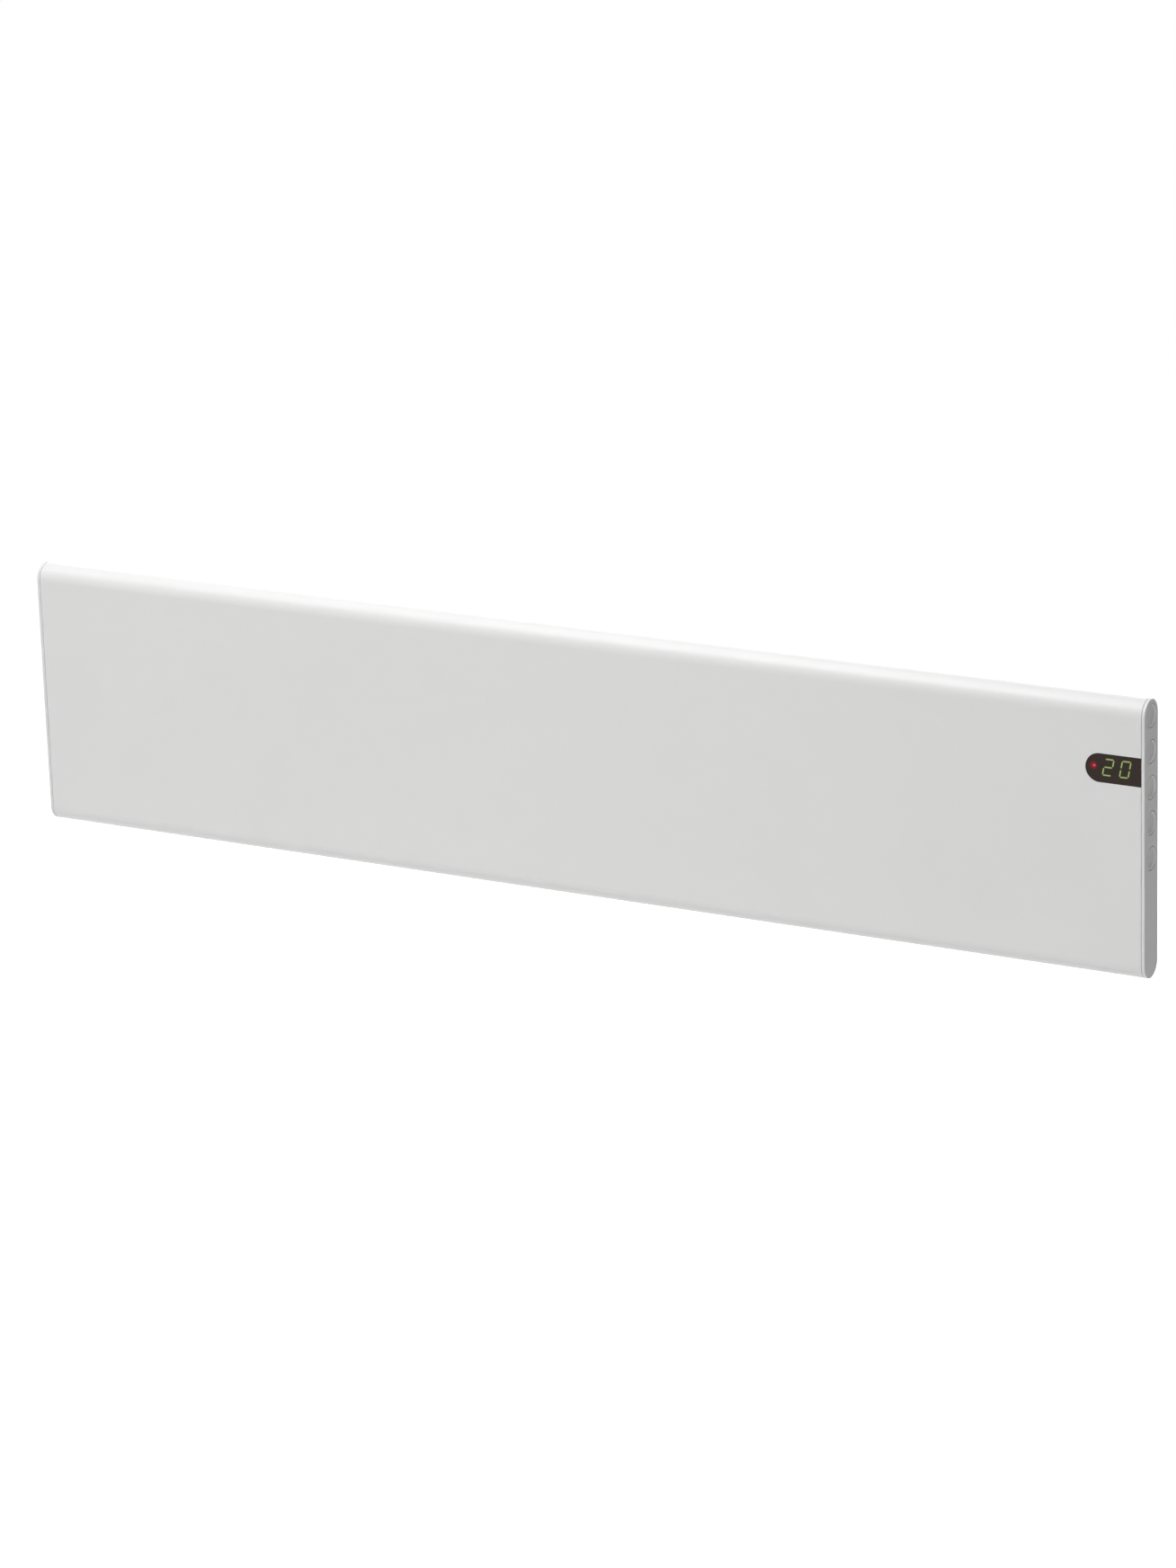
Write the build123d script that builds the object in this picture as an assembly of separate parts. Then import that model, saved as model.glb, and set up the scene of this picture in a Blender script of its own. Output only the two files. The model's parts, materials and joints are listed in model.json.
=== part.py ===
"""Low wall panel convector heater, in millimetres.

+X runs to the right along the front, +Y into the wall, +Z up. The origin lies on the wall plane,
at the centre of the four wall-screw holes, which is also the heater's middle and mid height.
"""

import os

from build123d import *

# Driving dimensions of the slim front casing
LENGTH = 890.0
HEIGHT = 200.0
CASE_DEPTH = 23.0
OVERALL_DEPTH = 84.0
SHEET = 1.0
CAP_RIM = 2.4
SEAM = 0.4
LIP_TIP_Z = 72.0

HALF_LENGTH = LENGTH / 2
CASE_FRONT_Y = -OVERALL_DEPTH
CASE_BACK_Y = CASE_FRONT_Y + CASE_DEPTH
CASE_MID_Y = CASE_FRONT_Y + CASE_DEPTH / 2
ROLL_Z = HEIGHT / 2 - CASE_DEPTH / 2
CAP_BACK_X = HALF_LENGTH - CAP_RIM
CASE_END_X = CAP_BACK_X - SEAM

# How far a cutter runs past the faces that it cuts
OVER = 1.0

# Screws
SCREW_RADIUS = 1.6
SCREW_SLIP = 0.1
HEAD_RADIUS = 3.1
HEAD_EDGE = 0.9
HEAD_FLAT = 1.6
HEAD_HEIGHT = 2.2
CAP_SCREW_LENGTH = 7.0
REAR_SCREW_LENGTH = 6.0
HOUSING_SCREW_LENGTH = 5.0
BOARD_SCREW_LENGTH = 5.0
REAR_SCREW_X = (-330.0, -110.0, 110.0, 330.0)
REAR_SCREW_Z = 79.0
HOUSING_SCREW_X = (-300.0, -100.0, 100.0, 300.0)
HOUSING_SCREW_Z = 70.5
HOUSING_SIDE_SCREW = (396.5, 40.0)

# Five round dished keys in the right end cap
KEY_COUNT = 5
KEY_PITCH = 25.5
KEY_RADIUS = 8.35
KEY_GAP = 0.35
KEY_EDGE = 0.4
KEY_WALL = 1.2
KEY_DISH_RADIUS = 7.5
KEY_DISH_DEPTH = 1.3
KEY_FLOOR_RADIUS = 6.9
KEY_FLOOR_SAG = 0.25
KEY_FLOOR_ROUND = 0.35
KEY_SKIRT_X = CAP_BACK_X - 1.4
KEY_LUG_REACH = 9.5
KEY_LUG_WIDTH = 6.0
KEY_LUG_THICK = 1.0
KEY_STEM_RADIUS = 1.6
KEY_STEM_TIP_X = 432.9
KEY_Z = [ROLL_Z - KEY_PITCH * i for i in range(KEY_COUNT)]

# End caps: a plate, a skirt that slips into the casing, two screw bosses and cross ribs
SKIRT_SLIP = 0.15
SKIRT_WALL = 1.6
SKIRT_LENGTH = 12.0
CAP_EDGE_ROUND = 0.5
CAP_BOSS_RADIUS = 3.0
CAP_BOSS_LENGTH = 6.5
CAP_BOSS_X = 437.0
CAP_SCREW_Z = 75.5
CAP_RIB_DEPTH = 4.0
CAP_RIB_HALF = 0.6
CAP_RIB_Z = [z - KEY_PITCH / 2 for z in KEY_Z[:-1]] + [-28.0, -52.0, -CAP_SCREW_Z]
WINDOW_ROOM_Y = -80.5
WINDOW_ROOM_Z = (37.0, 64.5)

# Display window, pilot light and digit block
WINDOW_CENTRE = (411.7, 50.7)
WINDOW_RADIUS = 10.25
WINDOW_GAP = 0.1
WINDOW_LIP = 1.5
WINDOW_BACK_Y = CASE_FRONT_Y + 2.2
PILOT_CENTRE = (408.0, 51.8)
PILOT_RADIUS = 1.5
PILOT_FOOT = (2.1, 2.0)
DIGITS_X = (412.0, 437.5)
DIGITS_Z = (42.0, 59.4)

# Control board, standing behind the window, parallel to the front
BOARD_FRONT_Y = -69.2
BOARD_BACK_Y = -67.6
BOARD_X = (376.0, 433.5)
BOARD_Z = (-24.0, 93.0)
BOARD_ROUND = 2.0
BOARD_POSTS = [(380.5, -18.0), (422.0, -18.0), (380.5, 66.0), (421.0, 66.0)]
POST_RADIUS = 3.0
CARRIER_PLATE_Y = CASE_BACK_Y - 1.4
CARRIER_X = (368.0, 430.5)
CARRIER_Z = (-34.0, 71.0)
CARRIER_ROUND = 3.0
CARRIER_WINDOW_X = (388.0, 416.0)
CARRIER_WINDOW_Z = (-8.0, 56.0)

# What stands on the board
SWITCH_X = (428.3, 434.3)
SWITCH_FRONT_Y = -75.8
SWITCH_HALF = 3.1
SWITCH_BORE_X = 431.6
SWITCH_BORE_RADIUS = 2.0
RELAY_X = (386.0, 405.0)
RELAY_Z = (-17.0, -1.5)
RELAY_FRONT_Y = -80.4
RELAY_ROUND = 1.0
CORE_X = (386.0, 408.0)
CORE_Z = (4.0, 28.0)
CORE_FRONT_Y = -79.5
WINDING_INSET = (2.5, 3.0)
WINDING_FRONT_Y = -81.2
CAPACITOR_PLACES = [(416.5, -12.0), (416.5, 2.0), (416.5, 18.0)]
CAPACITOR_RADIUS = 5.0
CAPACITOR_EDGE = 0.6
CAPACITOR_FRONT_Y = -81.0
BOARD_TERMINALS_X = (377.0, 388.0)
BOARD_TERMINALS_Z = (38.0, 54.0)
BOARD_TERMINALS_FRONT_Y = -79.2
BOARD_TERMINAL_WAYS = [(384.0, 43.5), (384.0, 48.5)]
BOARD_TERMINAL_WAY = (1.8, 2.7)

# Rear plate and the convection housing behind it
PLATE_Y = (CASE_BACK_Y, CASE_BACK_Y + SHEET)
PLATE_HALF = (441.0, 84.0)
PLATE_ROUND = 6.0
HOUSING_HALF = (392.0, 66.0)
HOUSING_BACK_Y = -22.0
HOUSING_BEND = 5.0
FLANGE_WIDTH = 9.0
FLANGE_ROUND = 8.0
BEAD = (340.0, 12.0)
BEAD_DEPTH = 1.0
BEAD_Z = 33.0
PARTITION_X = 322.0
PARTITION_FLANGE = 10.0
PARTITION_HOLE = 4.0
INTAKE_SLOT = (26.0, 5.0)
INTAKE_PITCH = 20.0
INTAKE_COUNT = 34
INTAKE_FIRST_X = -366.0
DUCT_MID_Y = -42.0

# Rubber grommets where wires pass through the rear plate
WIRE_HOLES = [(-380.0, -30.0), (352.0, 46.0), (380.0, -46.0)]
WIRE_HOLE_RADIUS = 5.0
WIRE_GROMMET_LIP = 1.5
WIRE_GROMMET_BORE = 3.8

# Louvred outlet grille in the top of the housing
GRILLE_X = (-376.0, 312.0)
GRILLE_Y = (-57.0, -27.0)
GRILLE_FRAME = 4.0
GRILLE_SIDE = 1.5
GRILLE_LIP = 1.5
GRILLE_ROUND = 2.0
GRILLE_EDGE = 0.6
GRILLE_WALL = 1.2
GRILLE_DROP = 4.5
LOUVRE_COUNT = 5
LOUVRE_THICK = 1.2
LOUVRE_LENGTH = 6.6
LOUVRE_ANGLE = 35.0
LOUVRE_MID_RISE = -1.65
GRILLE_RIB_COUNT = 7
GRILLE_RIB_HALF = 0.8
GRILLE_RIB_RISE = 0.6

# Bright sheet in front of the heating element, on ceramic spacers
SHIELD_X = (-370.0, 316.0)
SHIELD_Y = (-57.4, -56.6)
SHIELD_Z = (-56.0, 54.0)
SHIELD_FOLD = 5.0
SPACER_X = (-290.0, -27.0, 236.0)
SPACER_Z = (-50.5, 40.0)
SPACER_RADIUS = 4.0

# Heating element
ELEMENT_X = (-338.0, 286.0)
ELEMENT_Z = -30.0
HUB_RADIUS = 6.5
ARM_REACH = 15.0
ARM_THICK = 2.2
FIN_THICK = 1.2
FINS = [(8.8, 2.6), (11.4, 3.8), (14.0, 5.0)]
ROD_X = (-360.0, 308.0)
ROD_RADIUS = 4.2
ROD_PLUG = (3.0, 3.0)
ROD_PIN = (1.4, 7.0)
HOLDER_X = {"left": (-349.5, -348.0), "right": (296.0, 297.5)}
HOLDER_SHEET = 1.5
HOLDER_HALF = 12.0
HOLDER_FOOT = 12.0
BUSH_RADIUS = 7.0
BUSH_COLLAR = 2.0

# Overheat cut-out on its hat-shaped strip
CUTOUT_PLACE = (236.0, 12.0)
CUTOUT_BRACKET_Y = -46.0
CUTOUT_STRIP = 1.2
CUTOUT_STRIP_HALF = 9.0
CUTOUT_HAT_HALF = 12.0
CUTOUT_FOOT_END = 19.0
CUTOUT_CAN = ((8.0, 5.0), (6.4, 9.0))
CUTOUT_TAB_X = 3.5
CUTOUT_TAB_HALF = (0.4, 2.4)
CUTOUT_TAB_TOP = 17.0

# Mains terminal block
TERMINAL_X = (332.0, 368.0)
TERMINAL_Z = (2.0, 18.0)
TERMINAL_DEPTH = 15.0
TERMINAL_WAYS = 3
TERMINAL_WAY = (2.6, 4.0)
TERMINAL_STEP = (0.8, 5.0)
TERMINAL_ENTRY_DEPTH = 7.5

# Mains cable inlet: grommet and clamp
CABLE_INLET = (358.0, -50.0)
CABLE_RADIUS = 4.2
GROMMET_GROOVE = 6.5
GROMMET_FLANGE = 8.5
GROMMET_LIP = 2.5
GROMMET_EDGE = 1.0
CLAMP_Z = (-50.0, -42.0)
CLAMP_HALF = 13.0
CLAMP_SLIP = 0.6
CLAMP_STRAP = 2.5

# Room sensor
SENSOR_PLACE = (380.0, DUCT_MID_Y)
SENSOR_RADIUS = 2.6
SENSOR_TIP = 7.0
SENSOR_TIP_ROUND = 2.0
SENSOR_COLLAR = (4.2, 5.0)

# Inner wires
WIRE_RADIUS = 1.2
WIRE_BEND = 5.0
LONG_LEAD_Y = -64.5
LONG_LEAD_RISE_X = 366.0
LONG_LEAD_END_Z = -14.0
SHORT_LEAD_X = 338.0
SHORT_LEAD_TURN_Z = -16.0
SUPPLY_LEADS = [(350.4, 44.6), (353.8, 47.6)]
SUPPLY_LEAD_Y = -75.0
SENSOR_LEAD_Y = -68.4
SENSOR_LEAD_Z = -46.0
CLIP_X = (-300.0, -100.0, 100.0, 300.0)
CLIP_HALF = (3.0, 3.5)
CLIP_COVER = 2.4
CLIP_ROUND = 2.0

# Wall bracket, folded from sheet
BRACKET_SHEET = 1.5
BRACKET_BEND = 2.5
ARM_X = 225.0
ARM_HALF_WIDTH = 18.0
ARM_Z = (-62.0, 61.5)
ARM_CORNER = 4.0
ARM_FLANGE_TOP = 51.0
FLANGE_FRONT_Y = -20.0
RAIL_Z = (-12.0, 18.0)
RAIL_LIP = 8.0
WALL_HOLE_RADIUS = 3.0
WALL_HOLE_Z = 48.0
HOOK_Z = [-40.0, 20.0]
HOOK_NECK = 4.0
HOOK_RISE = 7.0
HOOK_NOSE_Y = (-27.0, -24.0)
HOOK_NOSE_ROUND = 1.4
HOOK_SLOT = (3.5, 13.0)
BUFFER_HALF = 4.0
BUFFER_Z = (-8.0, 6.0)
BUFFER_ROUND = 2.0

# Quarter-turn latches on top of the bracket's arms
LATCH_Y = -11.0
LATCH_EAR_RADIUS = 8.5
LATCH_PIN_RADIUS = 3.0
LATCH_PIN_SLIP = 0.05
LATCH_PIN_TAIL = 1.2
LATCH_TONGUE_Z = (55.7, 59.7)
LATCH_TONGUE_REACH = 15.0
LATCH_TONGUE_HALF = 4.0
LATCH_TONGUE_HUB = 6.0
LATCH_TONGUE_ROUND = 1.5
LATCH_SQUARE = 4.0
LATCH_SLOT_X = (-5.0, 12.0)
LATCH_SLOT_Z = (55.2, 60.2)
KNOB_RADIUS = 8.0
KNOB_GAP = 0.3
KNOB_THICK = 4.0
KNOB_EDGE = 0.8
KNOB_BAR = (14.0, 4.0, 4.2)
KNOB_FLUTES = 12
KNOB_FLUTE_RADIUS = 1.3
KNOB_FLUTE_OUT = 0.6


def fill_x(outline, low, high):
    """An outline drawn in (y, z), filled from x = low to x = high."""
    return extrude(Plane(origin=(low, 0, 0), x_dir=(0, 1, 0), z_dir=(1, 0, 0)) * outline, high - low)


def fill_y(outline, low, high):
    """An outline drawn in (x, z), filled from y = low to y = high."""
    return extrude(Plane(origin=(0, high, 0), x_dir=(1, 0, 0), z_dir=(0, -1, 0)) * outline, high - low)


def fill_z(outline, low, high):
    """An outline drawn in (x, y), filled from z = low to z = high."""
    return extrude(Pos(0, 0, low) * outline, high - low)


def block(x, y, z):
    """A box given by its (low, high) pairs."""
    sizes = [high - low for low, high in (x, y, z)]
    return Pos(*[(low + high) / 2 for low, high in (x, y, z)]) * Box(*sizes)


def rectangle(across, up):
    """A rectangle given by its (low, high) pairs."""
    middle = Pos((across[0] + across[1]) / 2, (up[0] + up[1]) / 2)
    return middle * Rectangle(across[1] - across[0], up[1] - up[0])


def widen(pair, by):
    """A (low, high) pair moved outwards by the same length at both ends."""
    return (pair[0] - by, pair[1] + by)


def around(middle, half):
    """The (low, high) pair that reaches half to each side of a middle."""
    return (middle - half, middle + half)


def holes_along_y(places, radius, y):
    """One cylinder along Y at each (x, z)."""
    return [fill_y(Pos(px, pz) * Circle(radius), *y) for px, pz in places]


def screw_holes(places, y):
    """Clearance holes through a sheet that lies from y[0] to y[1]."""
    return holes_along_y(places, SCREW_RADIUS + SCREW_SLIP, widen(y, OVER))


def round_edges(shape, radius):
    """The edges of a shape that are circles of this radius."""
    circles = shape.edges().filter_by(GeomType.CIRCLE)
    return [edge for edge in circles if abs(edge.radius - radius) < 0.01]


def casing_outline(inset):
    """The casing's cross-section in (y, z), drawn in by inset."""
    tall = HEIGHT - 2 * inset
    return Pos(CASE_MID_Y, 0) * SlotOverall(tall, CASE_DEPTH - 2 * inset, rotation=90)


def window_outline(grow, end_x):
    """The window's bullet shape in (x, z): a half circle on the left, running out to end_x."""
    centre_x, centre_z = WINDOW_CENTRE
    radius = WINDOW_RADIUS + grow
    tail = rectangle((centre_x, end_x), around(centre_z, radius))
    return tail + Pos(centre_x, centre_z) * Circle(radius)


def make_front_casing():
    """One long skin: flat front, full round top and bottom, and two lips behind."""
    section = casing_outline(0) - casing_outline(SHEET)
    back_gap = rectangle((CASE_BACK_Y - 2 * SHEET, CASE_BACK_Y + SHEET), (-LIP_TIP_Z, LIP_TIP_Z))
    skin = fill_x(section - back_gap, -CASE_END_X, CASE_END_X)
    front = (CASE_FRONT_Y - OVER, CASE_FRONT_Y + SHEET + OVER)
    notch = fill_y(window_outline(WINDOW_GAP, CASE_END_X + OVER), *front)
    lip_holes = screw_holes(cap_screw_places() + rear_screw_places(), (CASE_BACK_Y - SHEET, CASE_BACK_Y))
    return skin - notch - lip_holes


def make_display_window():
    """A clear panel flush with the front, with a lip behind the casing's skin."""
    face = fill_y(window_outline(0, CASE_END_X), CASE_FRONT_Y, CASE_FRONT_Y + SHEET)
    lip = fill_y(window_outline(WINDOW_LIP, CASE_END_X), CASE_FRONT_Y + SHEET, WINDOW_BACK_Y)
    return face + lip


def make_cap_blank():
    """The right-hand cap without its key holes; the left-hand one is its mirror image."""
    plate = fill_x(casing_outline(0), CAP_BACK_X, HALF_LENGTH)
    plate = fillet(plate.edges().group_by(Axis.X)[-1], CAP_EDGE_ROUND)
    skirt_ring = casing_outline(SHEET + SKIRT_SLIP) - casing_outline(SHEET + SKIRT_SLIP + SKIRT_WALL)
    cap = plate + fill_x(skirt_ring, CAP_BACK_X - SKIRT_LENGTH, CAP_BACK_X)
    skirt_back_y = CASE_BACK_Y - SHEET - SKIRT_SLIP
    skirt_front_y = CASE_FRONT_Y + SHEET + SKIRT_SLIP
    rib_y = widen((skirt_front_y, skirt_back_y), -SKIRT_WALL / 2)
    for z in CAP_RIB_Z:
        cap += block((CAP_BACK_X - CAP_RIB_DEPTH, CAP_BACK_X), rib_y, around(z, CAP_RIB_HALF))
    boss_y = (skirt_back_y - CAP_BOSS_LENGTH, skirt_back_y)
    places = [(CAP_BOSS_X, z) for z in (-CAP_SCREW_Z, CAP_SCREW_Z)]
    cap += holes_along_y(places, CAP_BOSS_RADIUS, boss_y)
    return cap - holes_along_y(places, SCREW_RADIUS, (boss_y[0] + OVER, boss_y[1] + OVER))


def make_right_end_cap():
    cap = make_cap_blank()
    inside = (CAP_BACK_X - SKIRT_LENGTH - OVER, CAP_BACK_X)
    window_room = block(inside, (CASE_FRONT_Y, WINDOW_ROOM_Y), WINDOW_ROOM_Z)
    top_key_room = block(inside, (CASE_FRONT_Y, CASE_BACK_Y), (CAP_SCREW_Z + CAP_BOSS_RADIUS, HEIGHT))
    key_holes = [
        fill_x(Pos(CASE_MID_Y, z) * Circle(KEY_RADIUS + KEY_GAP), CAP_BACK_X - OVER, HALF_LENGTH + OVER)
        for z in KEY_Z
    ]
    return cap - window_room - top_key_room - key_holes


def make_left_end_cap():
    return mirror(make_cap_blank(), Plane.YZ)


def key_half_section():
    """Half of a key's section, drawn as (x, radius): stem, hollow back, skirt, rim and dish."""
    face_x = HALF_LENGTH
    dish_x = face_x - KEY_DISH_DEPTH
    hollow_x = dish_x - KEY_WALL
    hollow_radius = KEY_RADIUS - KEY_WALL
    floor_edge = (dish_x + KEY_FLOOR_SAG, KEY_FLOOR_RADIUS)
    floor_sphere = (KEY_FLOOR_RADIUS**2 + KEY_FLOOR_SAG**2) / (2 * KEY_FLOOR_SAG)
    outline = Polyline(
        (dish_x, 0), (KEY_STEM_TIP_X, 0), (KEY_STEM_TIP_X, KEY_STEM_RADIUS),
        (hollow_x, KEY_STEM_RADIUS), (hollow_x, hollow_radius), (KEY_SKIRT_X, hollow_radius),
        (KEY_SKIRT_X, KEY_RADIUS), (face_x - KEY_EDGE, KEY_RADIUS), (face_x, KEY_RADIUS - KEY_EDGE),
        (face_x, KEY_DISH_RADIUS), floor_edge,
    )
    return make_face(outline + RadiusArc(floor_edge, (dish_x, 0), -floor_sphere))


def make_key(z):
    """A round key with a dished face, a hollow back, two retaining lugs and a switch stem."""
    turned = Plane(origin=(0, CASE_MID_Y, z), x_dir=(1, 0, 0), z_dir=(0, -1, 0)) * key_half_section()
    body = revolve(turned, Axis((0, CASE_MID_Y, z), (1, 0, 0)))
    body = fillet(round_edges(body, KEY_FLOOR_RADIUS), KEY_FLOOR_ROUND)
    lug_x = (KEY_SKIRT_X, KEY_SKIRT_X + KEY_LUG_THICK)
    lug_y = around(CASE_MID_Y, KEY_LUG_WIDTH / 2)
    lug_start = KEY_RADIUS - KEY_WALL
    body += block(lug_x, lug_y, (z + lug_start, z + KEY_LUG_REACH))
    return body + block(lug_x, lug_y, (z - KEY_LUG_REACH, z - lug_start))


def make_key_switches():
    """Five side-facing push switches on the board's edge, each bored for a key's stem."""
    switches = []
    for z in KEY_Z:
        housing = block(SWITCH_X, (SWITCH_FRONT_Y, BOARD_FRONT_Y), around(z, SWITCH_HALF))
        bore = fill_x(Pos(CASE_MID_Y, z) * Circle(SWITCH_BORE_RADIUS), SWITCH_BORE_X, SWITCH_X[1] + OVER)
        switches.append(housing - bore)
    return Compound(children=switches)


def make_control_board():
    blank = fill_y(rectangle(BOARD_X, BOARD_Z), BOARD_FRONT_Y, BOARD_BACK_Y)
    blank = fillet(blank.edges().filter_by(Axis.Y), BOARD_ROUND)
    return blank - holes_along_y(BOARD_POSTS, SCREW_RADIUS, widen((BOARD_FRONT_Y, BOARD_BACK_Y), OVER))


def make_board_carrier():
    """A moulded plate on the rear plate, with a post behind each of the board's screws."""
    base = fill_y(rectangle(CARRIER_X, CARRIER_Z), CARRIER_PLATE_Y, CASE_BACK_Y)
    base = fillet(base.edges().filter_by(Axis.Y), CARRIER_ROUND)
    opening = rectangle(CARRIER_WINDOW_X, CARRIER_WINDOW_Z)
    base -= fill_y(opening, *widen((CARRIER_PLATE_Y, CASE_BACK_Y), OVER))
    base += holes_along_y(BOARD_POSTS, POST_RADIUS, (BOARD_BACK_Y, CARRIER_PLATE_Y))
    return base - holes_along_y(BOARD_POSTS, SCREW_RADIUS, (BOARD_BACK_Y - OVER, CARRIER_PLATE_Y))


def make_screw(x, y, z, length):
    """A pan-head screw whose head bears at y and whose shank points to the front, along -Y."""
    shank_radius = SCREW_RADIUS - SCREW_SLIP
    outline = Polyline(
        (0, HEAD_HEIGHT), (HEAD_FLAT, HEAD_HEIGHT), (HEAD_RADIUS, HEAD_EDGE), (HEAD_RADIUS, 0),
        (shank_radius, 0), (shank_radius, 1 - length), (shank_radius / 2, -length), (0, -length),
        close=True,
    )
    half = Plane(origin=(x, y, z), x_dir=(1, 0, 0), z_dir=(0, 0, 1)) * make_face(outline)
    return revolve(half, Axis((x, y, z), (0, 1, 0)))


def make_screws(places, y, length):
    return Compound(children=[make_screw(x, y, z, length) for x, z in places])


def make_board_screws():
    """The board's screws go in from the front, so they are turned about the board's own plane."""
    turn = Rot(180, 0, 0)
    return Compound(children=[
        Pos(x, BOARD_FRONT_Y, z) * turn * make_screw(0, 0, 0, BOARD_SCREW_LENGTH) for x, z in BOARD_POSTS
    ])


def cap_screw_places():
    return [(x, z) for x in (-CAP_BOSS_X, CAP_BOSS_X) for z in (-CAP_SCREW_Z, CAP_SCREW_Z)]


def rear_screw_places():
    return [(x, z) for x in REAR_SCREW_X for z in (-REAR_SCREW_Z, REAR_SCREW_Z)]


def housing_screw_places():
    side_x, side_z = HOUSING_SIDE_SCREW
    rows = [(x, z) for x in HOUSING_SCREW_X for z in (-HOUSING_SCREW_Z, HOUSING_SCREW_Z)]
    return rows + [(x, z) for x in (-side_x, side_x) for z in (-side_z, side_z)]


def make_rear_plate():
    plate = fill_y(RectangleRounded(2 * PLATE_HALF[0], 2 * PLATE_HALF[1], PLATE_ROUND), *PLATE_Y)
    plate -= screw_holes(cap_screw_places() + rear_screw_places() + housing_screw_places(), PLATE_Y)
    return plate - holes_along_y(WIRE_HOLES, WIRE_HOLE_RADIUS, widen(PLATE_Y, OVER))


def make_wire_grommets():
    """Rubber grommets where the inner wires pass through the rear plate."""
    outer_y = widen(PLATE_Y, WIRE_GROMMET_LIP)
    grommets = []
    for x, z in WIRE_HOLES:
        place = Pos(x, z)
        flange = place * Circle(WIRE_HOLE_RADIUS + WIRE_GROMMET_LIP)
        ring = fill_y(place * Circle(WIRE_HOLE_RADIUS), *PLATE_Y)
        ring += fill_y(flange, outer_y[0], PLATE_Y[0])
        ring += fill_y(flange, PLATE_Y[1], outer_y[1])
        grommets.append(ring - fill_y(place * Circle(WIRE_GROMMET_BORE), *widen(outer_y, OVER)))
    return Compound(children=grommets)


def hook_places():
    """(x, z) of each hook's neck."""
    side = ARM_HALF_WIDTH - BRACKET_SHEET / 2
    return [(sign * ARM_X + edge * side, z) for sign in (-1, 1) for edge in (-1, 1) for z in HOOK_Z]


def bent_box(half_x, half_z, y, bend):
    """A box whose corners along Y, and whose rear edges, are bent round."""
    box = block((-half_x, half_x), y, (-half_z, half_z))
    return fillet(box.edges().filter_by(Axis.Y) + box.edges().group_by(Axis.Y)[-1], bend)


def bracket_slots(back):
    """Openings in the housing's back for the bracket's hooks and latches."""
    slots = []
    for x, z in hook_places():
        top = z + HOOK_NECK
        slots.append(block(around(x, HOOK_SLOT[0] / 2), back, (top - HOOK_SLOT[1], top)))
    for side in (-1, 1):
        span = sorted(side * (ARM_X + edge) for edge in LATCH_SLOT_X)
        slots.append(block(span, back, LATCH_SLOT_Z))
    return slots


def make_convection_housing():
    """A folded sheet box, open to the front, with intake slots below, a grille opening above, two
    pressed beads across its back, and slots there for the bracket's hooks and latches."""
    half_x, half_z = HOUSING_HALF
    front_y = PLATE_Y[1]
    inner_y = HOUSING_BACK_Y - SHEET
    flange = RectangleRounded(2 * (half_x + FLANGE_WIDTH), 2 * (half_z + FLANGE_WIDTH), FLANGE_ROUND)
    housing = bent_box(half_x, half_z, (front_y, HOUSING_BACK_Y), HOUSING_BEND)
    housing += fill_y(flange, front_y, front_y + SHEET)
    housing -= bent_box(half_x - SHEET, half_z - SHEET, (front_y - OVER, inner_y), HOUSING_BEND - SHEET)
    for z in (-BEAD_Z, BEAD_Z):
        ridge = Pos(0, z) * SlotOverall(*BEAD)
        groove = Pos(0, z) * SlotOverall(BEAD[0] - 2 * SHEET, BEAD[1] - 2 * SHEET)
        housing += fill_y(ridge, inner_y - BEAD_DEPTH, inner_y)
        housing -= fill_y(groove, HOUSING_BACK_Y - BEAD_DEPTH, HOUSING_BACK_Y + OVER)
    bottom = widen((-half_z, SHEET - half_z), OVER)
    housing -= [
        fill_z(Pos(INTAKE_FIRST_X + INTAKE_PITCH * i, DUCT_MID_Y) * SlotOverall(*INTAKE_SLOT, rotation=90),
               *bottom)
        for i in range(INTAKE_COUNT)
    ]
    housing -= fill_z(Pos(*CABLE_INLET) * Circle(GROMMET_GROOVE), *bottom)
    housing -= fill_z(Pos(*SENSOR_PLACE) * Circle(SENSOR_RADIUS), *bottom)
    top = widen((half_z - SHEET, half_z), OVER)
    housing -= block(widen(GRILLE_X, -GRILLE_FRAME), widen(GRILLE_Y, -GRILLE_SIDE), top)
    housing -= bracket_slots(widen((inner_y, HOUSING_BACK_Y), OVER))
    return housing - screw_holes(housing_screw_places(), (front_y, front_y + SHEET))


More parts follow.
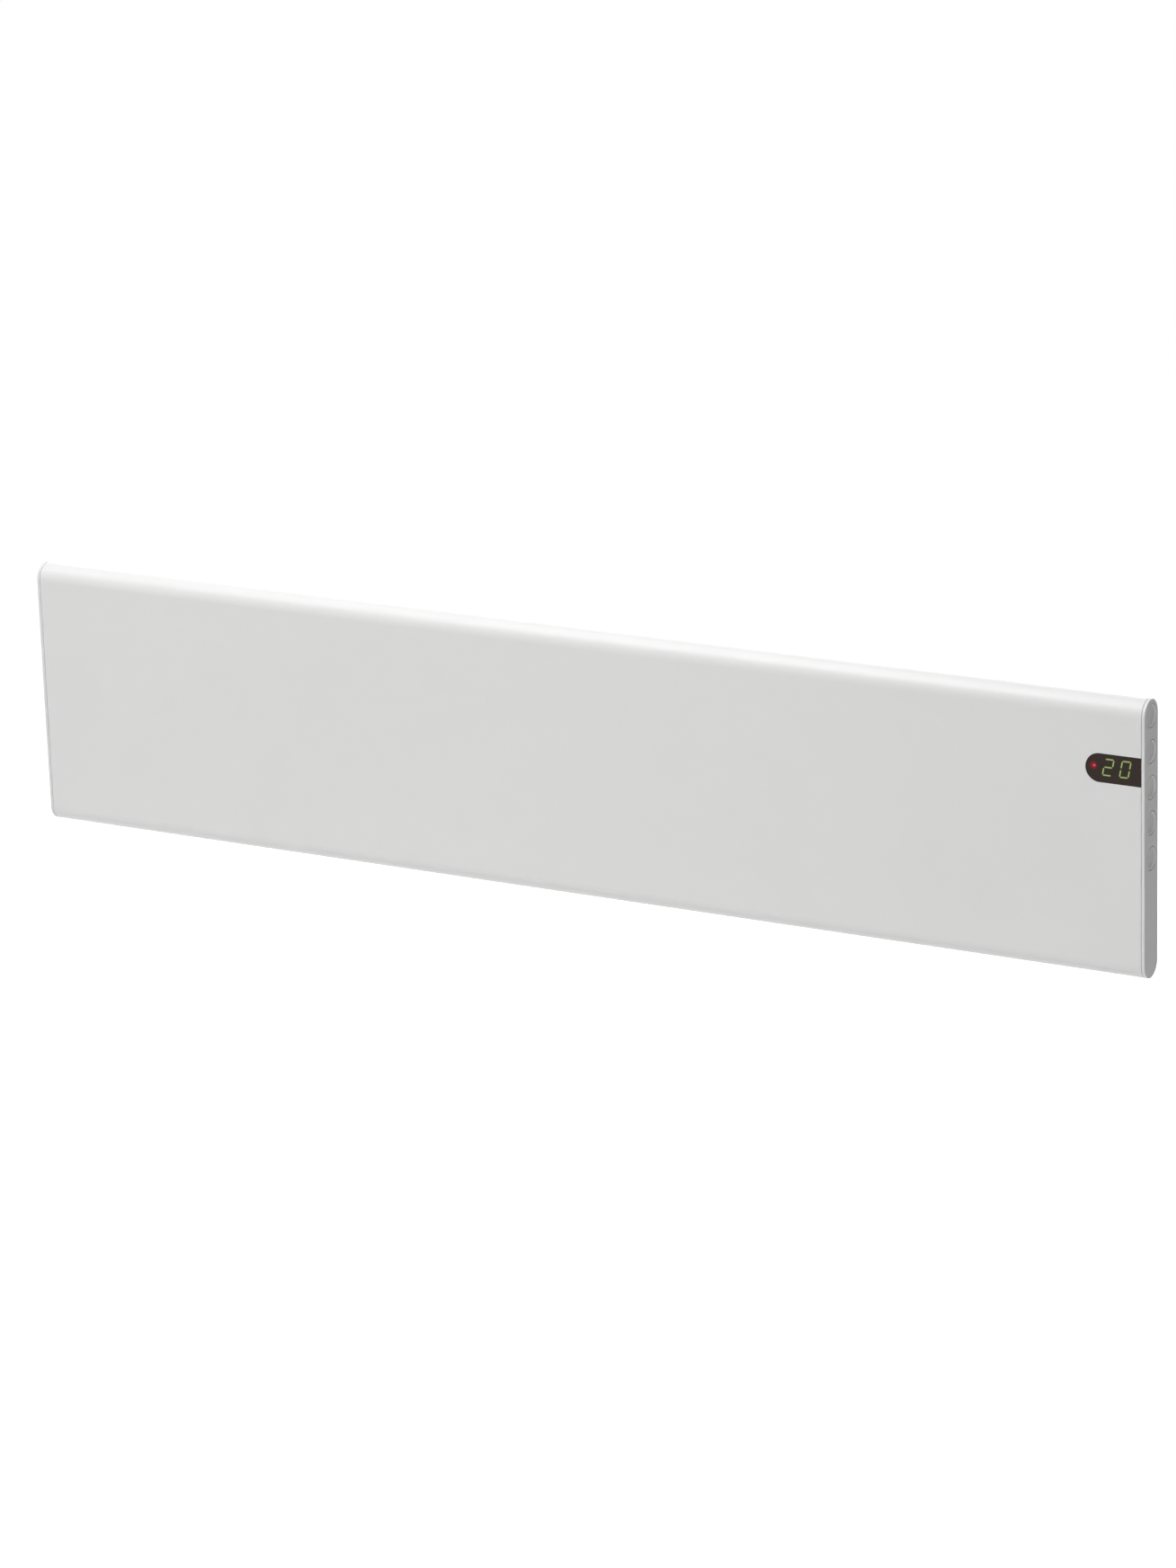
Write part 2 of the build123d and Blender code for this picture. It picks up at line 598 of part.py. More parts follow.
def make_outlet_grille():
    """A frame lying on the housing's top, with long slanted louvre blades and cross ribs."""
    top = HOUSING_HALF[1]
    low_z = top - GRILLE_DROP
    frame = block(GRILLE_X, GRILLE_Y, (top, top + GRILLE_LIP))
    frame = fillet(frame.edges().filter_by(Axis.Z), GRILLE_ROUND)
    frame = chamfer(frame.faces().sort_by(Axis.Z)[-1].edges(), GRILLE_EDGE)
    throat_x, throat_y = widen(GRILLE_X, -GRILLE_FRAME), widen(GRILLE_Y, -GRILLE_SIDE)
    opening_x, opening_y = widen(throat_x, -GRILLE_WALL), widen(throat_y, -GRILLE_WALL)
    grille = frame + block(throat_x, throat_y, (low_z, top))
    grille -= block(opening_x, opening_y, widen((low_z, top + GRILLE_LIP), OVER))
    blade = SlotOverall(LOUVRE_LENGTH, LOUVRE_THICK, rotation=90 + LOUVRE_ANGLE)
    pitch = (opening_y[1] - opening_y[0]) / (LOUVRE_COUNT + 1)
    for i in range(LOUVRE_COUNT):
        place = Pos(opening_y[0] + pitch * (i + 1), top + LOUVRE_MID_RISE)
        grille += fill_x(place * blade, *throat_x)
    spacing = (opening_x[1] - opening_x[0]) / (GRILLE_RIB_COUNT + 1)
    for i in range(GRILLE_RIB_COUNT):
        x = opening_x[0] + spacing * (i + 1)
        grille += block(around(x, GRILLE_RIB_HALF), throat_y, (low_z, top + GRILLE_RIB_RISE))
    return grille


def spacer_places():
    return [(x, z) for x in SPACER_X for z in SPACER_Z]


def make_heat_shield():
    """A bright sheet in front of the element, its top edge folded back towards the outlet."""
    thick = SHIELD_Y[1] - SHIELD_Y[0]
    sheet = block(SHIELD_X, SHIELD_Y, SHIELD_Z)
    fold = block(SHIELD_X, (SHIELD_Y[0], SHIELD_Y[0] + SHIELD_FOLD), (SHIELD_Z[1] - thick, SHIELD_Z[1]))
    return sheet + fold - screw_holes(spacer_places(), SHIELD_Y)


def make_shield_spacers():
    ring = Circle(SPACER_RADIUS) - Circle(SCREW_RADIUS + SCREW_SLIP)
    return Compound(children=[
        fill_y(Pos(x, z) * ring, PLATE_Y[1], SHIELD_Y[0]) for x, z in spacer_places()
    ])


def make_heating_element():
    """An extruded aluminium bar: a bored hub, four diagonal arms, and three fins across each arm."""
    arm = rectangle((0, ARM_REACH), around(0, ARM_THICK / 2))
    for reach, half in FINS:
        arm += rectangle(around(reach, FIN_THICK / 2), (-half, half))
    section = Circle(HUB_RADIUS)
    for angle in (45, 135, 225, 315):
        section += Rot(0, 0, angle) * arm
    section -= Circle(ROD_RADIUS)
    return fill_x(Pos(DUCT_MID_Y, ELEMENT_Z) * section, *ELEMENT_X)


def make_heater_rod():
    """A steel-sheathed rod with a ceramic plug and a terminal pin at each end."""
    middle = Pos(DUCT_MID_Y, ELEMENT_Z)
    rod = fill_x(middle * Circle(ROD_RADIUS), *ROD_X)
    for radius, reach in (ROD_PLUG, ROD_PIN):
        rod += fill_x(middle * Circle(radius), *widen(ROD_X, reach))
    return rod


def make_element_holder(side, foot_direction):
    """A folded steel holder: an upright plate round the bush, and a foot on the heat shield."""
    low, high = HOLDER_X[side]
    middle = Pos(DUCT_MID_Y, ELEMENT_Z)
    foot_z = around(ELEMENT_Z, HOLDER_HALF)
    outline = rectangle((SHIELD_Y[1], DUCT_MID_Y), foot_z) + middle * Circle(HOLDER_HALF)
    plate = fill_x(outline - middle * Circle(BUSH_RADIUS), low, high)
    foot_x = (low, high + HOLDER_FOOT) if foot_direction > 0 else (low - HOLDER_FOOT, high)
    return plate + block(foot_x, (SHIELD_Y[1], SHIELD_Y[1] + HOLDER_SHEET), foot_z)


def make_rod_bushes():
    """Ceramic bushes, each with a collar that stands against its holder."""
    middle = Pos(DUCT_MID_Y, ELEMENT_Z)
    bushes = []
    for low, high in HOLDER_X.values():
        ends = widen((low, high), BUSH_COLLAR)
        bush = fill_x(middle * Circle(BUSH_RADIUS), *ends)
        collar = fill_x(middle * Circle(BUSH_RADIUS + BUSH_COLLAR), high, ends[1])
        bushes.append(bush + collar - fill_x(middle * Circle(ROD_RADIUS), *widen(ends, OVER)))
    return Compound(children=bushes)


def make_partition_plate():
    """The folded wall between the hot duct and the cool connection space."""
    z = around(0, HOUSING_HALF[1] - SHEET)
    wall_x = (PARTITION_X, PARTITION_X + SHEET)
    wall = block(wall_x, (PLATE_Y[1], HOUSING_BACK_Y - SHEET), z)
    wall = fillet(wall.edges().filter_by(Axis.X).group_by(Axis.Y)[-1], HOUSING_BEND - SHEET)
    wall += block((PARTITION_X, PARTITION_X + PARTITION_FLANGE), (PLATE_Y[1], PLATE_Y[1] + SHEET), z)
    return wall - fill_x(Pos(DUCT_MID_Y, ELEMENT_Z) * Circle(PARTITION_HOLE), *widen(wall_x, OVER))


def make_cutout_bracket():
    """A hat-shaped strip that holds the overheat cut-out above the element."""
    x, z = CUTOUT_PLACE
    strip_x = around(x, CUTOUT_STRIP_HALF)
    leg_inner = CUTOUT_HAT_HALF - CUTOUT_STRIP
    strip = block(strip_x, (CUTOUT_BRACKET_Y - CUTOUT_STRIP, CUTOUT_BRACKET_Y), around(z, CUTOUT_HAT_HALF))
    for side in (-1, 1):
        leg_z = sorted(z + side * edge for edge in (leg_inner, CUTOUT_HAT_HALF))
        foot_z = sorted(z + side * edge for edge in (leg_inner, CUTOUT_FOOT_END))
        strip += block(strip_x, (SHIELD_Y[1], CUTOUT_BRACKET_Y), leg_z)
        strip += block(strip_x, (SHIELD_Y[1], SHIELD_Y[1] + CUTOUT_STRIP), foot_z)
    return strip


def make_overheat_cutout():
    """A round bimetal cut-out: flanged can, cap and two tab terminals."""
    x, z = CUTOUT_PLACE
    can_top = CUTOUT_BRACKET_Y + CUTOUT_CAN[-1][1]
    can = [fill_y(Pos(x, z) * Circle(radius), CUTOUT_BRACKET_Y, CUTOUT_BRACKET_Y + height)
           for radius, height in CUTOUT_CAN]
    cutout = can[0] + can[1]
    thin, wide = CUTOUT_TAB_HALF
    for side in (-1, 1):
        tab_x = around(x + side * CUTOUT_TAB_X, thin)
        cutout += block(tab_x, (can_top, CUTOUT_BRACKET_Y + CUTOUT_TAB_TOP), around(z, wide))
    return cutout


def make_terminal_block():
    """A three-way screw terminal block, stepped between its ways."""
    back_y = PLATE_Y[1] + TERMINAL_DEPTH
    body = block(TERMINAL_X, (PLATE_Y[1], back_y), TERMINAL_Z)
    pitch = (TERMINAL_X[1] - TERMINAL_X[0]) / TERMINAL_WAYS
    way_radius, way_depth = TERMINAL_WAY
    step_half, step_depth = TERMINAL_STEP
    mid_z = (TERMINAL_Z[0] + TERMINAL_Z[1]) / 2
    for way in range(TERMINAL_WAYS):
        start = TERMINAL_X[0] + pitch * way
        body -= fill_y(Pos(start + pitch / 2, mid_z) * Circle(way_radius), back_y - way_depth, back_y + OVER)
        if way:
            step_y = (back_y - step_depth, back_y + OVER)
            body -= block(around(start, step_half), step_y, widen(TERMINAL_Z, OVER))
    return body


def make_cable_grommet():
    """A rubber grommet in the housing's bottom, bored for the mains cable."""
    place = Pos(*CABLE_INLET)
    groove_z = (-HOUSING_HALF[1], SHEET - HOUSING_HALF[1])
    outer_z = widen(groove_z, GROMMET_LIP)
    grommet = fill_z(place * Circle(GROMMET_FLANGE), outer_z[0], groove_z[0])
    grommet += fill_z(place * Circle(GROMMET_GROOVE), *groove_z)
    grommet += fill_z(place * Circle(GROMMET_FLANGE), groove_z[1], outer_z[1])
    grommet = chamfer(grommet.faces().sort_by(Axis.Z)[0].outer_wire().edges(), GROMMET_EDGE)
    return grommet - fill_z(place * Circle(CABLE_RADIUS), *widen(outer_z, OVER))


def make_cable_clamp():
    """A saddle on the rear plate, above the grommet, that grips the cable from both sides."""
    x, y = CABLE_INLET
    cable_y = around(y, CABLE_RADIUS)
    clamp_x = around(x, CLAMP_HALF)
    clamp = block(clamp_x, (PLATE_Y[1], cable_y[0]), CLAMP_Z)
    for side in (-1, 1):
        post_x = sorted(x + side * edge for edge in (CABLE_RADIUS + CLAMP_SLIP, CLAMP_HALF))
        clamp += block(post_x, cable_y, CLAMP_Z)
    return clamp + block(clamp_x, (cable_y[1], cable_y[1] + CLAMP_STRAP), CLAMP_Z)


def make_room_sensor():
    """A round-ended sensor bulb that stands through the housing's bottom, into the room air."""
    place = Pos(*SENSOR_PLACE)
    outside, inside = -HOUSING_HALF[1], SHEET - HOUSING_HALF[1]
    bulb = fill_z(place * Circle(SENSOR_RADIUS), outside - SENSOR_TIP, inside)
    bulb = fillet(bulb.edges().group_by(Axis.Z)[0], SENSOR_TIP_ROUND)
    collar_radius, collar_height = SENSOR_COLLAR
    return bulb + fill_z(place * Circle(collar_radius), inside, inside + collar_height)


def make_wire(points):
    """A round insulated wire through the points, with an arc at each corner."""
    path = FilletPolyline(*points, radius=WIRE_BEND)
    section = Plane(origin=path @ 0, z_dir=path % 0) * Circle(WIRE_RADIUS)
    return sweep(section, path=path)


def make_element_lead_left():
    """From the rod's left pin through the rear plate and along the casing to the board."""
    pin_x, duct_x = ROD_X[0] - ROD_PIN[1], WIRE_HOLES[0][0]
    board_y = (BOARD_FRONT_Y + BOARD_BACK_Y) / 2
    return make_wire([
        (pin_x, DUCT_MID_Y, ELEMENT_Z), (duct_x, DUCT_MID_Y, ELEMENT_Z),
        (duct_x, LONG_LEAD_Y, ELEMENT_Z), (LONG_LEAD_RISE_X, LONG_LEAD_Y, ELEMENT_Z),
        (LONG_LEAD_RISE_X, board_y, LONG_LEAD_END_Z), (BOARD_X[0], board_y, LONG_LEAD_END_Z),
    ])


def make_wire_clips():
    """Saddle clips that hold the long lead to the rear plate."""
    clips = []
    for x in CLIP_X:
        clip_x = around(x, CLIP_HALF[0])
        clip = block(clip_x, (LONG_LEAD_Y - CLIP_COVER, CASE_BACK_Y), around(ELEMENT_Z, CLIP_HALF[1]))
        clip = fillet(clip.edges().filter_by(Axis.X).group_by(Axis.Y)[0], CLIP_ROUND)
        bore = fill_x(Pos(LONG_LEAD_Y, ELEMENT_Z) * Circle(WIRE_RADIUS), *widen(clip_x, OVER))
        clips.append(clip - bore)
    return Compound(children=clips)


def make_element_lead_right():
    """From the rod's right pin through the partition to the terminal block."""
    end_y = PLATE_Y[1] + TERMINAL_ENTRY_DEPTH
    return make_wire([
        (ROD_X[1] + ROD_PIN[1], DUCT_MID_Y, ELEMENT_Z), (SHORT_LEAD_X, DUCT_MID_Y, ELEMENT_Z),
        (SHORT_LEAD_X, end_y, SHORT_LEAD_TURN_Z), (SHORT_LEAD_X, end_y, TERMINAL_Z[0]),
    ])


def make_supply_leads():
    """Two leads from the terminal block through the rear plate to the board's terminals."""
    start_y = PLATE_Y[1] + TERMINAL_ENTRY_DEPTH
    leads = [
        make_wire([
            (x, start_y, TERMINAL_Z[1]), (x, start_y, z), (x, SUPPLY_LEAD_Y, z),
            (BOARD_TERMINALS_X[0], SUPPLY_LEAD_Y, z),
        ])
        for x, z in SUPPLY_LEADS
    ]
    return Compound(children=leads)


def make_sensor_lead():
    x, y = SENSOR_PLACE
    return make_wire([
        (x, y, SHEET - HOUSING_HALF[1] + SENSOR_COLLAR[1]), (x, y, SENSOR_LEAD_Z),
        (x, SENSOR_LEAD_Y, SENSOR_LEAD_Z), (x, SENSOR_LEAD_Y, BOARD_Z[0]),
    ])


def make_board_terminals():
    body = block(BOARD_TERMINALS_X, (BOARD_TERMINALS_FRONT_Y, BOARD_FRONT_Y), BOARD_TERMINALS_Z)
    radius, depth = BOARD_TERMINAL_WAY
    front_y = (BOARD_TERMINALS_FRONT_Y - OVER, BOARD_TERMINALS_FRONT_Y + depth)
    return body - holes_along_y(BOARD_TERMINAL_WAYS, radius, front_y)


def make_power_relay():
    body = block(RELAY_X, (RELAY_FRONT_Y, BOARD_FRONT_Y), RELAY_Z)
    return fillet(body.edges().filter_by(Axis.Y), RELAY_ROUND)


def make_power_transformer():
    """A laminated core with its winding standing out of the middle."""
    inset_x, inset_z = WINDING_INSET
    core = block(CORE_X, (CORE_FRONT_Y, BOARD_FRONT_Y), CORE_Z)
    winding_y = (WINDING_FRONT_Y, BOARD_FRONT_Y)
    return core + block(widen(CORE_X, -inset_x), winding_y, widen(CORE_Z, -inset_z))


def make_board_capacitors():
    cans = []
    for x, z in CAPACITOR_PLACES:
        can = fill_y(Pos(x, z) * Circle(CAPACITOR_RADIUS), CAPACITOR_FRONT_Y, BOARD_FRONT_Y)
        cans.append(chamfer(can.faces().sort_by(Axis.Y)[0].edges(), CAPACITOR_EDGE))
    return Compound(children=cans)


def make_digit_module():
    return fill_y(rectangle(DIGITS_X, DIGITS_Z), WINDOW_BACK_Y, BOARD_FRONT_Y)


def make_indicator_light():
    """A light pipe from the board to the back of the window, with a wider foot."""
    place = Pos(*PILOT_CENTRE)
    foot_radius, foot_height = PILOT_FOOT
    pipe = fill_y(place * Circle(PILOT_RADIUS), WINDOW_BACK_Y, BOARD_FRONT_Y)
    return pipe + fill_y(place * Circle(foot_radius), BOARD_FRONT_Y - foot_height, BOARD_FRONT_Y)


def hook_outline(z):
    """A hook in (y, z): a neck from the flange's front edge, and a round nose behind the wall."""
    neck = rectangle((HOOK_NOSE_Y[0], FLANGE_FRONT_Y + OVER), (z, z + HOOK_NECK))
    nose = rectangle(HOOK_NOSE_Y, (z, z + HOOK_NECK + HOOK_RISE))
    return neck + fillet(nose.vertices().group_by(Axis.Y)[-1], HOOK_NOSE_ROUND)


def folded_channel(width, depth):
    """A U in (across, out): its back on zero, its legs towards minus, its two bends round."""
    outer = rectangle(around(0, width / 2), (-depth, 0))
    outer = fillet(outer.vertices().group_by(Axis.Y)[-1], BRACKET_BEND)
    inner = rectangle(around(0, width / 2 - BRACKET_SHEET), (-depth - OVER, -BRACKET_SHEET))
    return outer - fillet(inner.vertices().group_by(Axis.Y)[-1], BRACKET_BEND - BRACKET_SHEET)


def make_bracket_arm(x):
    """One upright channel of the bracket, with hooks on both flanges and a latch ear on top."""
    inner = ARM_HALF_WIDTH - BRACKET_SHEET
    section = Pos(x, 0) * folded_channel(2 * ARM_HALF_WIDTH, -FLANGE_FRONT_Y)
    arm = fill_z(section, ARM_Z[0], ARM_FLANGE_TOP)
    arm = fillet(arm.edges().filter_by(Axis.X).group_by(Axis.Y)[0], ARM_CORNER)
    tab_half = ARM_HALF_WIDTH - BRACKET_BEND
    arm += block(around(x, tab_half), (-BRACKET_SHEET, 0), (ARM_FLANGE_TOP - OVER, ARM_Z[1]))
    for z in HOOK_Z:
        for side in (-1, 1):
            arm += fill_x(hook_outline(z), *sorted(x + side * edge for edge in (inner, ARM_HALF_WIDTH)))
    ear_z = (ARM_Z[1] - BRACKET_SHEET, ARM_Z[1])
    ear = Pos(x, LATCH_Y) * Circle(LATCH_EAR_RADIUS) + rectangle(around(x, LATCH_EAR_RADIUS), (LATCH_Y, 0))
    bore = Pos(x, LATCH_Y) * Circle(LATCH_PIN_RADIUS + LATCH_PIN_SLIP)
    return arm + fill_z(ear, *ear_z) - fill_z(bore, *widen(ear_z, OVER))


def make_wall_bracket():
    """Two upright arms joined by a cross rail, with a wall-screw hole at each arm's ends."""
    reach = ARM_X - ARM_HALF_WIDTH + BRACKET_SHEET
    rail_mid = (RAIL_Z[0] + RAIL_Z[1]) / 2
    section = Pos(0, rail_mid) * Rot(0, 0, -90) * folded_channel(RAIL_Z[1] - RAIL_Z[0], RAIL_LIP)
    bracket = fill_x(section, -reach, reach) + make_bracket_arm(-ARM_X) + make_bracket_arm(ARM_X)
    holes = [(x, z) for x in (-ARM_X, ARM_X) for z in (-WALL_HOLE_Z, WALL_HOLE_Z)]
    return bracket - holes_along_y(holes, WALL_HOLE_RADIUS, widen((-BRACKET_SHEET, 0), OVER))


def make_bracket_buffers():
    """Rubber pads between the bracket's flanges and the housing."""
    flange = ARM_HALF_WIDTH - BRACKET_SHEET / 2
    pads = [
        block(around(arm_x + side * flange, BUFFER_HALF), (HOUSING_BACK_Y, FLANGE_FRONT_Y), BUFFER_Z)
        for arm_x in (-ARM_X, ARM_X) for side in (-1, 1)
    ]
    return Compound(children=[fillet(pad.edges().filter_by(Axis.Y), BUFFER_ROUND) for pad in pads])


def make_latch_knob(x):
    """A fluted knob with a finger bar over a round pin, squared below the ear for the tongue."""
    place = Pos(x, LATCH_Y)
    base_z = ARM_Z[1] + KNOB_GAP
    bar_length, bar_width, bar_height = KNOB_BAR
    disc_top = base_z + KNOB_THICK
    knob = fill_z(place * Circle(KNOB_RADIUS), base_z, disc_top)
    knob = chamfer(knob.faces().sort_by(Axis.Z)[-1].edges(), KNOB_EDGE)
    flutes = PolarLocations(KNOB_RADIUS + KNOB_FLUTE_OUT, KNOB_FLUTES) * Circle(KNOB_FLUTE_RADIUS)
    knob -= [fill_z(place * flute, base_z - OVER, disc_top + OVER) for flute in flutes]
    knob += fill_z(place * SlotOverall(bar_length, bar_width, rotation=90), disc_top, disc_top + bar_height)
    knob += fill_z(place * Circle(LATCH_PIN_RADIUS), LATCH_TONGUE_Z[1], base_z)
    low, high = LATCH_TONGUE_Z
    knob += fill_z(place * Rectangle(LATCH_SQUARE, LATCH_SQUARE), low, high)
    return knob + fill_z(place * Circle(LATCH_PIN_RADIUS), low - LATCH_PIN_TAIL, low)


def make_latch_tongue(x):
    """A flat cam on the pin's square: it reaches through the housing's slot and stops it lifting."""
    nose = rectangle(around(0, LATCH_TONGUE_HALF), (-LATCH_TONGUE_REACH, 0))
    outline = Circle(LATCH_TONGUE_HUB) + nose - Rectangle(LATCH_SQUARE, LATCH_SQUARE)
    tongue = fill_z(Pos(x, LATCH_Y) * outline, *LATCH_TONGUE_Z)
    return fillet(tongue.edges().filter_by(Axis.Z).group_by(Axis.Y)[0], LATCH_TONGUE_ROUND)


def make_all():
    nodes = {
        "front_casing": make_front_casing(),
        "display_window": make_display_window(),
        "right_end_cap": make_right_end_cap(),
        "left_end_cap": make_left_end_cap(),
        "key_switches": make_key_switches(),
        "control_board": make_control_board(),
        "board_carrier": make_board_carrier(),
        "board_screws": make_board_screws(),
        "board_terminals": make_board_terminals(),
        "power_relay": make_power_relay(),
        "power_transformer": make_power_transformer(),
        "board_capacitors": make_board_capacitors(),
        "digit_module": make_digit_module(),
        "indicator_light": make_indicator_light(),
        "rear_plate": make_rear_plate(),
        "convection_housing": make_convection_housing(),
        "wire_grommets": make_wire_grommets(),
        "outlet_grille": make_outlet_grille(),
        "heat_shield": make_heat_shield(),
        "shield_spacers": make_shield_spacers(),
        "heating_element": make_heating_element(),
        "heater_rod": make_heater_rod(),
        "rod_bushes": make_rod_bushes(),
        "element_holder_left": make_element_holder("left", -1),
        "element_holder_right": make_element_holder("right", 1),
        "partition_plate": make_partition_plate(),
        "cutout_bracket": make_cutout_bracket(),
        "overheat_cutout": make_overheat_cutout(),
        "terminal_block": make_terminal_block(),
        "cable_grommet": make_cable_grommet(),
        "cable_clamp": make_cable_clamp(),
        "room_sensor": make_room_sensor(),
        "element_lead_left": make_element_lead_left(),
        "element_lead_right": make_element_lead_right(),
        "wire_clips": make_wire_clips(),
        "supply_leads": make_supply_leads(),
        "sensor_lead": make_sensor_lead(),
        "end_cap_screws": make_screws(cap_screw_places(), PLATE_Y[1], CAP_SCREW_LENGTH),
        "rear_plate_screws": make_screws(rear_screw_places(), PLATE_Y[1], REAR_SCREW_LENGTH),
        "housing_screws": make_screws(housing_screw_places(), PLATE_Y[1] + SHEET, HOUSING_SCREW_LENGTH),
        "wall_bracket": make_wall_bracket(),
        "bracket_buffers": make_bracket_buffers(),
    }
    for number, z in enumerate(KEY_Z, start=1):
        nodes[f"control_key_{number}"] = make_key(z)
    for side, x in (("left", -ARM_X), ("right", ARM_X)):
        nodes[f"latch_knob_{side}"] = make_latch_knob(x)
        nodes[f"latch_tongue_{side}"] = make_latch_tongue(x)
    return nodes


os.makedirs("parts", exist_ok=True)
for name, shape in make_all().items():
    export_step(shape, f"parts/{name}.step")
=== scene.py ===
"""Looks of the low wall panel convector heater.

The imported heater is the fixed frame: +X runs to the right along the front, +Y into the wall and
+Z up, in metres. This script gives every piece its finish, lights the display, cuts the cross
recesses into the screws, and sets the floor, the lamps and the camera. No piece is moved.
"""

import json
import math

import bmesh
import bpy
from mathutils import Matrix, Vector


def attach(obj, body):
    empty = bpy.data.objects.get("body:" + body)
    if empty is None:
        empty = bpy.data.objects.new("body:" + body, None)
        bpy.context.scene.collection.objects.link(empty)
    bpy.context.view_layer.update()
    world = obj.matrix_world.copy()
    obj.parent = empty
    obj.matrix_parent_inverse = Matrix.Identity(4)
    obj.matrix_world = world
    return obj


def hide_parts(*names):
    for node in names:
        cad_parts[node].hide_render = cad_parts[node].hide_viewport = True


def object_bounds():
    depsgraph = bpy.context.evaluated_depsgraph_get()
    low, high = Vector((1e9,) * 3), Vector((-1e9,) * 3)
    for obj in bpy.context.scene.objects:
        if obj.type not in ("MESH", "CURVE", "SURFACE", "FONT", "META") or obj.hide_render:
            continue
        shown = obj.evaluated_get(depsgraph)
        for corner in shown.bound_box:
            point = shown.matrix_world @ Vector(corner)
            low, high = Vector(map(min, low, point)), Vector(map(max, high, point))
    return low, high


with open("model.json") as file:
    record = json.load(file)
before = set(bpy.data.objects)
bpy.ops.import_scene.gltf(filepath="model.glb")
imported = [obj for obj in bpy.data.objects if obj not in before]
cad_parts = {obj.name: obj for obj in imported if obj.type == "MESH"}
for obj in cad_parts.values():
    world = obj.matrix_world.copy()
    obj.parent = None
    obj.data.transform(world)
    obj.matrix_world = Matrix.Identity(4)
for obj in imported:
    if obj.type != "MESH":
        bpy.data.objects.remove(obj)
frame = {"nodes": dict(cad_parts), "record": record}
cad_low, cad_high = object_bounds()

MM = 0.001

# Camera: a long lens, seen from the right and a little above
LENS = 133.08
SENSOR = 36.0
VIEW_REACH = 100.0
CAMERA_PLACE = (1.89817, -3.53032, 1.27067)
CAMERA_YAW = math.radians(28.636)
CAMERA_PITCH = math.radians(18.086)
CAMERA_ROLL = math.radians(1.748)

# Stage: the heater hangs above a pale floor that brightens outwards into a white studio
FLOOR_DROP = 0.9
FLOOR_RADIUS = 5.0
FLOOR_SIDES = 96
FLOOR_COLOUR = (0.8, 0.8, 0.8, 1.0)
FLOOR_GLOW = (0.55, 1.0)
FLOOR_GLOW_REACH = (0.8, 2.4)
AMBIENT = 0.03
WHITE = (1.0, 1.0, 1.0, 1.0)
BLACK = (0.0, 0.0, 0.0, 1.0)

# Display: two slanted seven-bar digits and a pilot light, seen through the smoked window
DIGIT_CENTRES = (418.2 * MM, 430.7 * MM)
DIGIT_MID_Z = 51.6 * MM
DIGIT_SLANT = 0.19
DIGIT_HALF_WIDTH = 3.15 * MM
DIGIT_HALF_HEIGHT = 5.75 * MM
BAR_HALF_THICK = 0.38 * MM
LEVEL_BAR_GAP = 0.3 * MM
UPRIGHT_BAR_GAP = 0.5 * MM
UPRIGHT_BAR_MIDDLE = 0.53
BAR_EDGE = 0.12 * MM
BAR_LIGHT = (0.37, 0.42, 0.185, 1.0)
HALO_LIGHT = (0.026, 0.045, 0.0, 1.0)
HALO_REACH = 2.0 * MM
PILOT_PLACE = (408.0 * MM, 52.1 * MM)
PILOT_REACH = 1.4 * MM
PILOT_LIGHT = (0.85, 0.07, 0.15, 1.0)
FLARE_PLACE = (407.4 * MM, 52.0 * MM)
FLARE_REACH = 4.8 * MM
FLARE_LIGHT = (0.32, 0.0, 0.012, 1.0)
SMOKE = (0.035, 0.0205, 0.016, 1.0)
SMOKE_HIDDEN_BY_GLOW = 0.7
LIT_BARS = (
    ("top", "upper_right", "middle", "lower_left", "bottom"),
    ("top", "upper_right", "lower_right", "bottom", "lower_left", "upper_left"),
)

# Cross cutters for the screw heads: size at their top, which stands one recess depth above the head,
# and the share of it that is left at their foot
CUTTER_WIDTH = 0.8 * MM
CUTTER_LENGTH = 3.2 * MM
RECESS_DEPTH = 1.1 * MM
FOOT_WIDTH_SHARE = 0.6
FOOT_LENGTH_SHARE = 0.45
WELD_REACH = 0.001 * MM


# ---------------------------------------------------------------- shader maths

class Socket:
    """An output of a shader node. Arithmetic on it adds Math nodes."""

    def __init__(self, shader, output):
        self.shader = shader
        self.output = output

    def __add__(self, other):
        return self.shader.maths("ADD", self, other)

    def __sub__(self, other):
        return self.shader.maths("SUBTRACT", self, other)

    def __rsub__(self, other):
        return self.shader.maths("SUBTRACT", other, self)

    def __mul__(self, other):
        return self.shader.maths("MULTIPLY", self, other)

    def __abs__(self):
        return self.shader.maths("ABSOLUTE", self)

    __radd__ = __add__
    __rmul__ = __mul__


